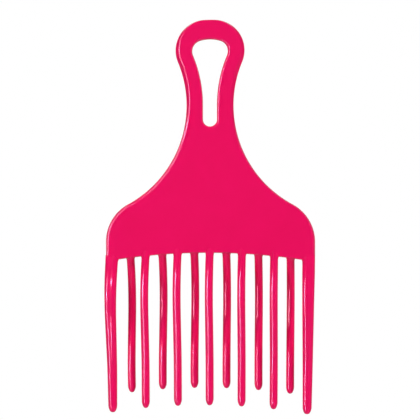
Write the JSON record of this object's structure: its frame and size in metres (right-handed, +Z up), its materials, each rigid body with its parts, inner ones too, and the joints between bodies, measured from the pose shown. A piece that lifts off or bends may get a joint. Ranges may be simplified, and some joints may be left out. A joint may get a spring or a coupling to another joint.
{
  "type": "comb",
  "caption": "Moulded plastic hair pick with a loop handle to hang it by, a flared plate, and rows of long round teeth that bow out to the front and to the back.",
  "frame": {"origin": "where a hook bears: the middle of the upper edge of the hole in the handle, midway between the plate's faces", "axes": "+Z up from the teeth to the handle, -Y toward the side that the longer-toothed front row bows to, +X to the right as seen from that side"},
  "size_m": [0.0934, 0.0164, 0.1749],
  "materials": {
    "comb_plastic": "gloss"
  },
  "bodies": {
    "root": {"handle": "comb_plastic", "head": "comb_plastic", "front_tooth_1": "comb_plastic", "front_tooth_2": "comb_plastic", "front_tooth_3": "comb_plastic", "front_tooth_4": "comb_plastic", "front_tooth_5": "comb_plastic", "front_tooth_6": "comb_plastic", "front_tooth_7": "comb_plastic", "back_tooth_1": "comb_plastic", "back_tooth_2": "comb_plastic", "back_tooth_3": "comb_plastic", "back_tooth_4": "comb_plastic", "back_tooth_5": "comb_plastic", "back_tooth_6": "comb_plastic"}
  },
  "joints": []
}
